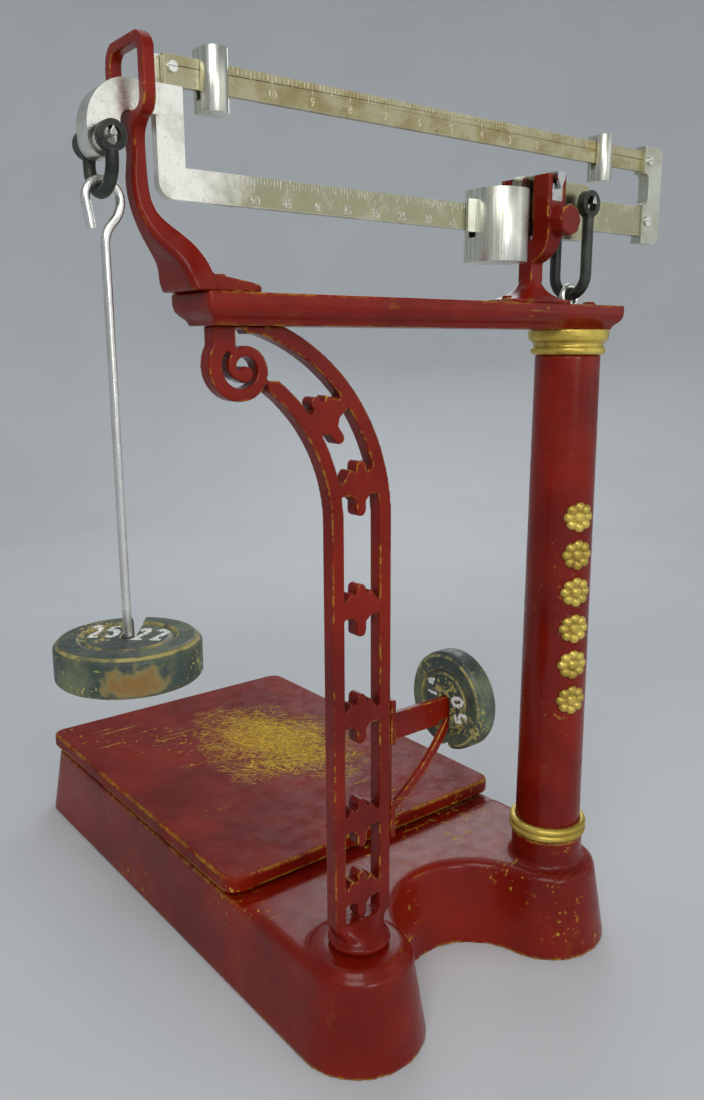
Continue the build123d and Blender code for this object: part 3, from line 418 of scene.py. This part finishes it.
# axis is 0, 1 or 2 for the weight's own axis, patch the middle of a rusty spot, rings the worn radii
def makeWeightPaint(name, low, high, axis, patch, rings):
    material, t, shader, place = newMaterial(name)
    centre = (low + high) / 2
    parts = split(t, fromPoint(t, place, centre))
    others = [parts[i] for i in range(3) if i != axis]
    radius = radiusOf(t, others[0], others[1])
    skin = placed(t, castSkin, Vector=place, Grain=420.0, Waves=90.0)
    edges = placed(t, edgeWear, Vector=place, Reach=0.0013, Amount=1.0, Breakup=210.0)
    spots = placed(t, paintChips, Vector=place, Scale=130.0, Amount=0.9)
    shadedCrevices = placed(t, creviceShade, Vector=place, Reach=0.006, Amount=0.6)
    mottle = ramp(t, skin.outputs["Mottle"], 0.42, 0.70)
    color = mixColor(t, mottle, weightPaint["dark"], weightPaint["light"])
    turned = noise(t, stretched(t, place, (90, 90, 90)), 1.0, 6.0, 0.7)
    ringLevel = maths(t, "MULTIPLY", edges.outputs["Soft"], ramp(t, turned, 0.40, 0.60))
    bare = maths(t, "MAXIMUM", maths(t, "MAXIMUM", edges.outputs["Mask"], spots.outputs["Mask"]),
                 maths(t, "MULTIPLY", ringLevel, 0.6))
    for ring in rings:
        near = maths(t, "ABSOLUTE", maths(t, "SUBTRACT", radius, ring))
        band = maths(t, "MULTIPLY", ramp(t, near, 0.0011, 0.0003), ramp(t, turned, 0.42, 0.58, 0.1, 0.85))
        bare = maths(t, "MAXIMUM", bare, band)
    color = mixColor(t, bare, color, weightPaint["ochre"])
    if patch:
        flat = stretched(t, fromPoint(t, place, patch), (0.62, 0.62, 1.35))
        away = node(t, "ShaderNodeVectorMath", {"operation": "LENGTH"}, i0=flat).outputs["Value"]
        ragged = maths(t, "MULTIPLY", maths(t, "SUBTRACT", noise(t, place, 170.0, 5.0), 0.5), 0.022)
        spread = maths(t, "ADD", away, ragged)
        color = mixColor(t, ramp(t, spread, 0.0125, 0.0075, 0.0, 0.5), color, weightPaint["ochre"])
        color = mixColor(t, ramp(t, spread, 0.0115, 0.0035, 0.0, 0.85), color, weightPaint["rust"])
    # painted shade: crevices darken towards near black
    color = mixColor(t, shadedCrevices.outputs["Mask"], color, weightPaint["creviceShadeTint"])
    t.links.new(color, shader.inputs["Base Color"])
    rough = ramp(t, noise(t, place, 150.0, 4.0), 0.3, 0.7, 0.34, 0.62)
    t.links.new(rough, shader.inputs["Roughness"])
    height = maths(t, "SUBTRACT", skin.outputs["Height"], maths(t, "MULTIPLY", bare, 0.2))
    bump(t, shader, height, 0.7, 0.0011)
    return material


def makeWhitePaint(name):
    material, t, shader, place = newMaterial(name)
    shade = ramp(t, noise(t, place, 600.0, 4.0, 0.6), 0.35, 0.65)
    t.links.new(mixColor(t, shade, weightPaint["dirtyWhite"], weightPaint["white"]),
                shader.inputs["Base Color"])
    t.links.new(ramp(t, noise(t, place, 300.0), 0.3, 0.7, 0.45, 0.7), shader.inputs["Roughness"])
    bump(t, shader, noise(t, place, 700.0), 0.5, 0.0003)
    return material


def makeEngraving(name, tint, dim):
    material, t, shader, place = newMaterial(name)
    shade = ramp(t, noise(t, place, 260.0, 5.0, 0.7), 0.38, 0.64)
    t.links.new(mixColor(t, shade, dim, tint), shader.inputs["Base Color"])
    t.links.new(ramp(t, noise(t, place, 300.0), 0.3, 0.7, 0.4, 0.6), shader.inputs["Roughness"])
    bump(t, shader, noise(t, place, 900.0), 0.3, 0.0002)
    return material


weightLow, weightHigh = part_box("hanging_weight")
spareLow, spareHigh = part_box("spare_weight")
weightCentre = (weightLow + weightHigh) / 2
frontSpot = Vector((weightCentre.x - 0.013, weightLow.y + 0.003, weightLow.z + 0.008))
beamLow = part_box("beam")[0]
dullFrom = (beamLow.x + 0.052, beamLow.x + 0.105)
materials = {
    "red": makeEnamel("redEnamel", 0.36, 0.34, 0.002, coat=0.2),
    "redBase": makeEnamel("redEnamelBase", 0.7, 0.58, 0.0035, low=0.14, coat=0.22),
    "redPlate": makeEnamel("redEnamelPlate", 0.9, 0.5, 0.003, patch=platformPatch, coat=0.0, gritty=0.12),
    "redSlim": makeEnamel("redEnamelSlim", 0.3, 0.25, reach=0.0016),
    "gilt": makeGilt("oldGilt"),
    "giltRelief": makeGilt("oldGiltRelief", aboveColumn),
    "nickel": makePlating("wornNickel", plating["bright"], plating["olive"], 0.5, fade=dullFrom),
    "bracket": makePlating("bracketNickel", plating["bracket"], plating["tarnish"], 0.5, (0.34, 0.5)),
    "poise": makePlating("poiseNickel", plating["poise"], plating["tarnish"], 0.25, (0.3, 0.42),
                         drawn=(900, 900, 8), streaks=0.5),
    "brass": makePlating("wornBrassBar", plating["paleBrass"], plating["brass"], 0.9, (0.3, 0.44)),
    "steel": makePlating("groundSteel", plating["steel"], plating["darkSteel"], 0.5),
    "wire": makePlating("drawnWire", plating["wire"], plating["darkWire"], 0.35, (0.2, 0.36), (900, 900, 60)),
    "black": makeIron("blackIron", iron["black"], iron["worn"], iron["patina"], 0.35),
    "casting": makeIron("rawCasting", iron["cast"], iron["paleCast"], iron["rust"], 0.6),
    "weight": makeWeightPaint("weightPaint", weightLow, weightHigh, 2, frontSpot, (0.0212, 0.0245, 0.0352)),
    "spare": makeWeightPaint("spareWeightPaint", spareLow, spareHigh, 0, None, (0.0189, 0.0222, 0.0308)),
    "white": makeWhitePaint("whitePaint"),
    "marks": makeEngraving("whiteFilledMarks", (0.80, 0.79, 0.72, 1), (0.34, 0.32, 0.26, 1)),
    "markBrass": makeEngraving("paleFilledMarks", (0.82, 0.76, 0.52, 1), (0.42, 0.36, 0.2, 1)),
}
print("materials built:", len(materials))


# carried-over nodes: softened castings and eased machined edges

castings = {  # node: (voxel, smoothing passes, material)
    "base_casting": (0.0016, 5, "redBase"), "column": (0.0013, 2, "red"),
    "scroll_pillar": (0.0008, 5, "redSlim"), "shelf": (0.0010, 2, "red"),
    "trig_stand": (0.0006, 5, "redSlim"), "fulcrum_stand": (0.0006, 5, "redSlim"),
    "weight_rack": (0.0006, 4, "redSlim"), "platform": (0.0013, 2, "redPlate"),
    "column_collar": (0.0006, 2, "gilt"), "column_capital": (0.0007, 2, "gilt"),
    "hanging_weight": (0.0006, 3, "weight"), "spare_weight": (0.0006, 3, "spare"),
    "load_shackle": (0.0005, 3, "black"),
    "long_lever": (0.0014, 3, "casting"), "short_lever": (0.0012, 3, "casting"),
}
machined = {  # edge easing, material, nodes
    "bars": (0.0004, "nickel", ("beam",)),
    "brassBar": (0.0003, "brass", ("upper_bar",)),
    "bracket": (0.0006, "bracket", ("beam_end_bracket",)),
    "largePoise": (0.0004, "poise", ("lower_poise",)),
    "smallPoises": (0.0003, "poise", ("upper_poise", "balance_poise")),
    "index": (0.0001, "poise", ("lower_poise_index",)),
    "brightScrews": (0.0002, "wire", ("beam_screws",)),
    "knives": (0.0002, "steel", ("fulcrum_pivot", "load_pivot", "tip_pivot", "long_lever_pivots",
                                 "short_lever_pivots")),
    "bearings": (0.0002, "steel", ("fulcrum_bearings", "base_bearings", "platform_bearings")),
    "wires": (0.0, "wire", ("counterpoise_hook", "steelyard_rod")),
    "seat": (0.0003, "wire", ("counterpoise_seat",)),
    "blackParts": (0.0003, "black", ("lever_links", "column_bolts", "pillar_bolt")),
    "blackWire": (0.0, "black", ("tip_shackle",)),
    "redScrews": (0.0003, "red", ("shelf_screw", "trig_screw", "fulcrum_screws")),
    "smallRedScrews": (0.0002, "red", ("rack_screws",)),
}


def dress(name, material):
    mesh = nodes[name].data
    mesh.materials.clear()
    mesh.materials.append(materials[material])


for name, (voxel, passes, material) in castings.items():
    dress(name, material)
    weld = nodes[name].modifiers.new("weld", "WELD")
    weld.merge_threshold = 0.00002
    remesh = nodes[name].modifiers.new("cast", "REMESH")
    remesh.mode = "VOXEL"
    remesh.voxel_size = voxel * 1.0
    remesh.use_smooth_shade = True
    soft = nodes[name].modifiers.new("soften", "SMOOTH")
    soft.factor = 0.5
    soft.iterations = passes
for easing, material, names in machined.values():
    for name in names:
        dress(name, material)
        if not easing:
            continue
        weld = nodes[name].modifiers.new("weld", "WELD")
        weld.merge_threshold = 0.00001
        ease = nodes[name].modifiers.new("ease", "BEVEL")
        ease.width = easing
        ease.segments = 2
        ease.limit_method = "ANGLE"
        ease.angle_limit = math.radians(35)
        ease.harden_normals = True
print("nodes dressed:", len(castings) + sum(len(row[2]) for row in machined.values()))


def addPiece(name, mesh, body, material):
    piece = bpy.data.objects.new(name, mesh)
    bpy.context.scene.collection.objects.link(piece)
    mesh.materials.clear()
    mesh.materials.append(materials[material])
    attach(piece, body)
    return piece


def meshFrom(bm, name, smooth=True):
    bmesh.ops.recalc_face_normals(bm, faces=bm.faces)
    mesh = bpy.data.meshes.new(name)
    bm.to_mesh(mesh)
    bm.free()
    for face in mesh.polygons:
        face.use_smooth = smooth
    return mesh


# graduations stamped in the front face of each bar

# zeroX is from the column's axis, parts are the divisions of one unit,
# lengths go by every nth mark
barMarks = {
    "lower_bar_marks": {
        "face": -0.0025, "top": 0.5313, "zeroX": -0.0553, "step": 0.00396, "first": 6, "last": 52, "parts": 2,
        "lengths": ((10, 0.0058), (2, 0.0040), (1, 0.0027)),
        "numerals": (50, 45, 40, 35, 30, 25, 20, 15, 10), "numeralZ": 0.5198, "height": 0.0044,
        "mesh": "lowerBarMarks", "material": "marks", "slot": "nickel_plate"},
    "upper_bar_marks": {
        "face": -0.0018, "top": 0.5810, "zeroX": 0.0090, "step": 0.0250,
        "first": 0, "last": 10.9, "parts": 10,
        "lengths": ((10, 0.0052), (5, 0.0040), (1, 0.0027)),
        "numerals": (10, 9, 8, 7, 6, 5, 4, 3, 2, 1), "numeralZ": 0.5713, "height": 0.0042,
        "mesh": "upperBarMarks", "material": "markBrass", "slot": "worn_brass"},
}
shiftX, shiftY = 0.1405, -0.2015  # column axis to the shared frame
markWidth, markRise, markRoot, belowTop = 0.00042, 0.00006, 0.0002, 0.0004


def addTick(bm, x, face, z, length):
    half = markWidth / 2
    corners = [(x - half, z - length), (x + half, z - length), (x + half, z), (x - half, z)]
    front = [bm.verts.new((cx + shiftX, face - markRise + shiftY, cz)) for cx, cz in corners]
    back = [bm.verts.new((cx + shiftX, face + markRoot + shiftY, cz)) for cx, cz in corners]
    bm.faces.new(front)
    bm.faces.new(back)
    for i in range(4):
        bm.faces.new((front[i], front[(i + 1) % 4], back[(i + 1) % 4], back[i]))


def addText(bm, words, x, y, z, height):
    curve = bpy.data.curves.new("figure", "FONT")
    curve.body = words
    curve.size = height * 1.42
    curve.align_x = "CENTER"
    curve.align_y = "CENTER"
    curve.extrude = markRise
    curve.resolution_u = 3
    holder = bpy.data.objects.new("figure", curve)
    mesh = bpy.data.meshes.new_from_object(holder)
    mesh.transform(Matrix.Translation((x, y, z)) @ Matrix.Rotation(math.radians(90), 4, "X"))
    bm.from_mesh(mesh)
    bpy.data.objects.remove(holder)
    bpy.data.curves.remove(curve)
    bpy.data.meshes.remove(mesh)


for name, s in barMarks.items():
    bm = bmesh.new()
    for mark in range(round(s["first"] * s["parts"]), round(s["last"] * s["parts"]) + 1):
        length = next(size for every, size in s["lengths"] if mark % every == 0)
        addTick(bm, s["zeroX"] - mark / s["parts"] * s["step"], s["face"], s["top"] - belowTop, length)
    for value in s["numerals"]:
        x = s["zeroX"] - value * s["step"] + shiftX
        addText(bm, str(value), x, s["face"] + shiftY, s["numeralZ"], s["height"])
    addPiece(name, meshFrom(bm, s["mesh"], False), "beam", s["material"])
print("graduations cut")


# six gilt flowers down the column, each eight petals round a button, wrapped round the shaft

flower = {"first": 0.3312, "pitch": 0.0268, "count": 6, "halfWide": 0.0122, "halfTall": 0.0108, "petals": 8,
          "turn": -107.0, "rise": 0.0034, "buttonSize": 0.34}


def flowerHeight(u, v):
    r = math.hypot(u, v)
    lobe = abs(math.cos(math.atan2(v, u) * flower["petals"] / 2)) ** 0.7
    rim = 0.84 + 0.16 * lobe
    button = flower["buttonSize"]
    if r < button:
        return 0.42 + 0.5 * math.sqrt(max(0.0, 1 - (r / button) ** 2))
    if r > rim:
        return -0.35
    swell = math.sin(math.pi * min(1.0, (r - button) / (rim - button))) ** 0.55
    return 0.16 + (0.34 + 0.42 * lobe) * swell


def buildFlowers():
    bm = bmesh.new()
    rings, sides = 26, 128
    low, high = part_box("column")
    centreX, centreY = (low.x + high.x) / 2, (low.y + high.y) / 2
    for index in range(flower["count"]):
        middle = flower["first"] - index * flower["pitch"]
        grid = []
        for ring in range(rings + 1):
            row = []
            for side in range(sides):
                angle = 2 * math.pi * side / sides
                u, v = math.cos(angle) * ring / rings, math.sin(angle) * ring / rings
                z = middle + v * flower["halfTall"]
                skin = shaft["foot"] - z * shaft["taper"]
                far = skin + flowerHeight(u, v) * flower["rise"]
                azimuth = math.radians(flower["turn"]) + u * flower["halfWide"] / 0.0240
                x, y = centreX + far * math.cos(azimuth), centreY + far * math.sin(azimuth)
                row.append(bm.verts.new((x, y, z)))
            grid.append(row)
        for ring in range(rings):
            for side in range(sides):
                after = (side + 1) % sides
                bm.faces.new((grid[ring][side], grid[ring][after],
                              grid[ring + 1][after], grid[ring + 1][side]))
    bmesh.ops.remove_doubles(bm, verts=bm.verts, dist=0.00002)
    piece = addPiece("column_flowers", meshFrom(bm, "columnFlowers"), "stand", "giltRelief")
    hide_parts("column_rosettes")


buildFlowers()
print("column flowers raised")


# white figures brushed on the weights by hand

strokeOf = {
    "0": [(0.3, 1.0), (0.08, 0.8), (0.02, 0.45), (0.14, 0.1), (0.35, 0.0), (0.55, 0.2), (0.6, 0.6),
          (0.48, 0.92), (0.28, 1.0)],
    "1": [(0.1, 0.78), (0.32, 1.0), (0.3, 0.0)],
    "2": [(0.02, 0.78), (0.16, 0.98), (0.42, 0.98), (0.56, 0.74), (0.42, 0.46), (0.02, 0.03), (0.62, 0.05)],
    "4": [(0.46, 0.0), (0.44, 1.0), (0.0, 0.36), (0.62, 0.34)],
    "5": [(0.58, 0.98), (0.1, 0.98), (0.06, 0.58), (0.36, 0.62), (0.58, 0.4), (0.5, 0.1), (0.24, 0.0),
          (0.02, 0.12)],
    "/": [(0.0, 0.0), (0.4, 1.0)],
}
paintedFigures = [  # on is both node and body, middle is across and up, all in metres, tilt in degrees
    {"name": "figure_rack_left", "on": "spare_weight", "words": "1/4", "middle": (0.0045, 0.0120),
     "size": (0.0074, 0.0084), "tilt": 14, "brush": 0.0021},
    {"name": "figure_rack_right", "on": "spare_weight", "words": "50", "middle": (-0.0010, -0.0130),
     "size": (0.0110, 0.0098), "tilt": 16, "brush": 0.0026},
    {"name": "figure_hung_left", "on": "hanging_weight", "words": "25", "middle": (-0.0125, 0.0085),
     "size": (0.0092, 0.0190), "tilt": 4, "brush": 0.0031},
    {"name": "figure_hung_right", "on": "hanging_weight", "words": "22", "middle": (0.0125, 0.0030),
     "size": (0.0098, 0.0180), "tilt": -5, "brush": 0.0031},
]
brush = {"steps": 8, "rows": (-1.0, -0.4, 0.4, 1.0), "edgeLift": 0.00005, "midLift": 0.00016, "gaps": 0.04,
         "longest": 0.0035, "start": 0.004, "shake": 0.0001}
readAcross, readUp = Vector((0.787, -0.616, 0)), Vector((0.616, 0.787, 0))  # figures on the hung weight's top


def facing(name):
    low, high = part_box(name)
    middle = (low + high) / 2
    if name == "spare_weight":  # ringed face towards the pillar, figures read upwards
        origin = Vector((low.x - brush["start"], middle.y, middle.z))
        return origin, Vector((0, 0, 1)), Vector((0, 1, 0)), Vector((-1, 0, 0))
    return Vector((middle.x, middle.y, high.z + brush["start"])), readAcross, readUp, Vector((0, 0, 1))


def paintFigures(spec, seed):
    rng = random.Random(seed)
    surface = BVHTree.FromObject(nodes[spec["on"]], bpy.context.evaluated_depsgraph_get())
    origin, across, up, out = facing(spec["on"])
    tilt = math.radians(spec["tilt"])
    along = across * math.cos(tilt) + up * math.sin(tilt)
    rise = up * math.cos(tilt) - across * math.sin(tilt)
    wide, tall = spec["size"]
    bm = bmesh.new()
    start = -len(spec["words"]) * wide / 2
    centre = origin + across * spec["middle"][0] + up * spec["middle"][1]
    for index, letter in enumerate(spec["words"]):
        stroke = strokeOf[letter]
        fine = []
        for (u0, v0), (u1, v1) in zip(stroke, stroke[1:]):
            steps = [k / brush["steps"] for k in range(brush["steps"])]
            fine += [(u0 + (u1 - u0) * k, v0 + (v1 - v0) * k) for k in steps]
        fine.append(stroke[-1])
        edges = []
        for i, (u, v) in enumerate(fine):
            before, after = fine[max(0, i - 1)], fine[min(len(fine) - 1, i + 1)]
            du, dv = (after[0] - before[0]) * wide, (after[1] - before[1]) * tall
            size = math.hypot(du, dv) or 1.0
            width = spec["brush"] * (0.72 + 0.5 * rng.random()) / 2
            pu = start + (index + u * 0.86 + 0.08) * wide + rng.uniform(-1, 1) * brush["shake"]
            pv = (v - 0.5) * tall
            row = []
            for k in brush["rows"]:
                spot = centre + along * (pu - dv / size * width * k) + rise * (pv + du / size * width * k)
                hit = surface.ray_cast(spot, -out, 0.02)[0]
                lift = brush["edgeLift"] if abs(k) == 1.0 else brush["midLift"]
                row.append(bm.verts.new(hit + out * lift) if hit else None)
            edges.append(row)
        for a, b in zip(edges, edges[1:]):
            for k in range(3):
                corners = (a[k], a[k + 1], b[k + 1], b[k])
                flat = all(corners) and max((c.co - corners[0].co).length for c in corners) < brush["longest"]
                if flat and rng.random() > brush["gaps"]:
                    bm.faces.new(corners)
    loose = [v for v in bm.verts if not v.link_faces]
    bmesh.ops.delete(bm, geom=loose, context="VERTS")
    addPiece(spec["name"], meshFrom(bm, spec["name"]), spec["on"], "white")


for seed, spec in enumerate(paintedFigures):
    paintFigures(spec, 11 + seed)
print("figures painted on the weights")


# pale round floor that curves up into a wall

floorTone = {"color": (0.60, 0.62, 0.64, 1), "shade": (0.575, 0.60, 0.625, 1), "radius": 2.7, "wall": 3.0,
             "curve": 1.0, "steps": 12, "sides": 96}


def buildStage():
    bm = bmesh.new()
    curve, steps, sides = floorTone["curve"], floorTone["steps"], floorTone["sides"]
    flat = floorTone["radius"] - curve
    profile = [(0.0, 0.0), (0.8, 0.0), (flat, 0.0)]
    for k in range(1, steps + 1):
        angle = math.pi / 2 * k / steps
        profile.append((flat + curve * math.sin(angle), curve * (1 - math.cos(angle))))
    profile.append((floorTone["radius"], floorTone["wall"]))
    rows = []
    for r, z in profile:
        angles = [2 * math.pi * s / sides for s in range(sides)]
        rows.append([bm.verts.new((r * math.cos(angle), r * math.sin(angle), z)) for angle in angles])
    for low, high in zip(rows, rows[1:]):
        for s in range(sides):
            bm.faces.new((low[s], low[(s + 1) % sides], high[(s + 1) % sides], high[s]))
    bmesh.ops.remove_doubles(bm, verts=bm.verts, dist=0.0001)
    mesh = meshFrom(bm, "studioFloor")
    floor = bpy.data.objects.new("studio_floor", mesh)
    bpy.context.scene.collection.objects.link(floor)
    material, t, shader, place = newMaterial("paleFloor")
    shade = ramp(t, noise(t, place, 3.0, 3.0), 0.35, 0.65)
    t.links.new(mixColor(t, shade, floorTone["shade"], floorTone["color"]), shader.inputs["Base Color"])
    shader.inputs["Roughness"].default_value = 0.75
    mesh.materials.append(material)


def addLight(name, place, aim, size, power, color):
    lamp = bpy.data.lights.new(name, "AREA")
    lamp.shape = "RECTANGLE"
    lamp.size, lamp.size_y = size
    lamp.energy = power
    lamp.color = color
    holder = bpy.data.objects.new(name, lamp)
    holder.location = place
    holder.rotation_euler = (Vector(aim) - Vector(place)).to_track_quat("-Z", "Y").to_euler()
    bpy.context.scene.collection.objects.link(holder)


lights = [  # name, place, aim, size, watts, colour
    ("keySoftbox", (-1.15, -1.35, 1.65), (0, 0, 0.28), (1.1, 0.9), 19, (1.0, 0.985, 0.96)),
    ("frontFill", (-0.30, -1.9, 0.75), (0, 0, 0.3), (0.5, 0.5), 5.5, (1, 1, 1)),
    ("topSoftbox", (0.3, 0.4, 2.3), (0, 0, 0.2), (1.6, 1.6), 8.5, (0.96, 0.98, 1.0)),
    ("rightSoftbox", (1.15, -1.65, 0.85), (0, 0, 0.4), (1.9, 1.3), 4.6, (1.0, 0.99, 0.97)),
    ("backFill", (1.5, 1.4, 1.3), (0, 0, 0.3), (1.0, 1.0), 8, (0.95, 0.97, 1.0)),
    ("wallWash", (0.4, 0.6, 1.2), (1.2, 2.4, 1.0), (1.4, 0.8), 3, (0.98, 1.0, 0.99)),
]
roomLight = {"color": (0.85, 0.88, 0.88, 1), "strength": 0.31}


def buildLight():
    world = bpy.data.worlds.new("studio")
    bpy.context.scene.world = world
    world.use_nodes = True
    background = world.node_tree.nodes["Background"]
    background.inputs[0].default_value = roomLight["color"]
    background.inputs[1].default_value = roomLight["strength"]
    for light in lights:
        addLight(*light)


view = {"place": (-0.3820, -0.6263, 0.4472), "yaw": 38.06, "down": 12.31, "roll": -0.26, "lens": 30.44}


def buildCamera():
    camera = bpy.data.cameras.new("studioCamera")
    camera.lens = view["lens"]
    camera.sensor_width = 36.0
    camera.sensor_fit = "AUTO"
    camera.clip_start = 0.02
    camera.clip_end = 30.0
    holder = bpy.data.objects.new("studioCamera", camera)
    yaw, down = math.radians(view["yaw"]), math.radians(view["down"])
    ahead = Vector((math.sin(yaw) * math.cos(down), math.cos(yaw) * math.cos(down), -math.sin(down)))
    roll = Matrix.Rotation(math.radians(view["roll"]), 4, "Z")
    turn = ahead.to_track_quat("-Z", "Y").to_matrix().to_4x4() @ roll
    holder.matrix_world = Matrix.Translation(view["place"]) @ turn
    bpy.context.scene.collection.objects.link(holder)
    bpy.context.scene.camera = holder


buildStage()
buildLight()
buildCamera()
bpy.context.scene.view_settings.view_transform = "Standard"
print("stage, lights and camera set")
